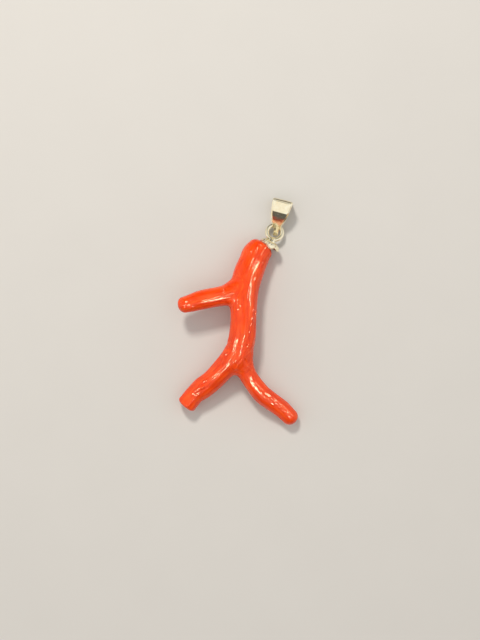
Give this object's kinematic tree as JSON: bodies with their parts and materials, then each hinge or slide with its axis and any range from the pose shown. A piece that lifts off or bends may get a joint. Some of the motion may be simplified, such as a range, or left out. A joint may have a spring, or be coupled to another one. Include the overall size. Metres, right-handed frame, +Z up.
{
  "type": "coral branch pendant",
  "caption": "Polished red coral branch with a level side branch and a forked foot, held by a petalled metal bell cap on a soldered ring with a folded bail that swings.",
  "frame": {"origin": "on the table, under the middle of the pendant's outline as it lies on its back", "axes": "+Y along the pendant from the coral's two lower tips to the top of the bail; +Z up from the table, towards the front of the coral; +X to the right seen from the front, so the side branch points to -X"},
  "size_m": [0.0299, 0.0569, 0.0095],
  "materials": {
    "coral": "polished",
    "metal": "polished, plated pale gold"
  },
  "bodies": {
    "pendant": {"stem": "coral", "side_branch": "coral", "left_branch": "coral", "right_branch": "coral", "cap": "metal", "ring": "metal"},
    "bail": {"bail": "metal"}
  },
  "joints": [
    {"name": "bail_swing", "type": "hinge", "parent": "pendant", "child": "bail", "pos_m": [0.00974, 0.0218, 0.00135], "axis": [0.9681, -0.2504, 0], "range_deg": [-70, 55]}
  ]
}
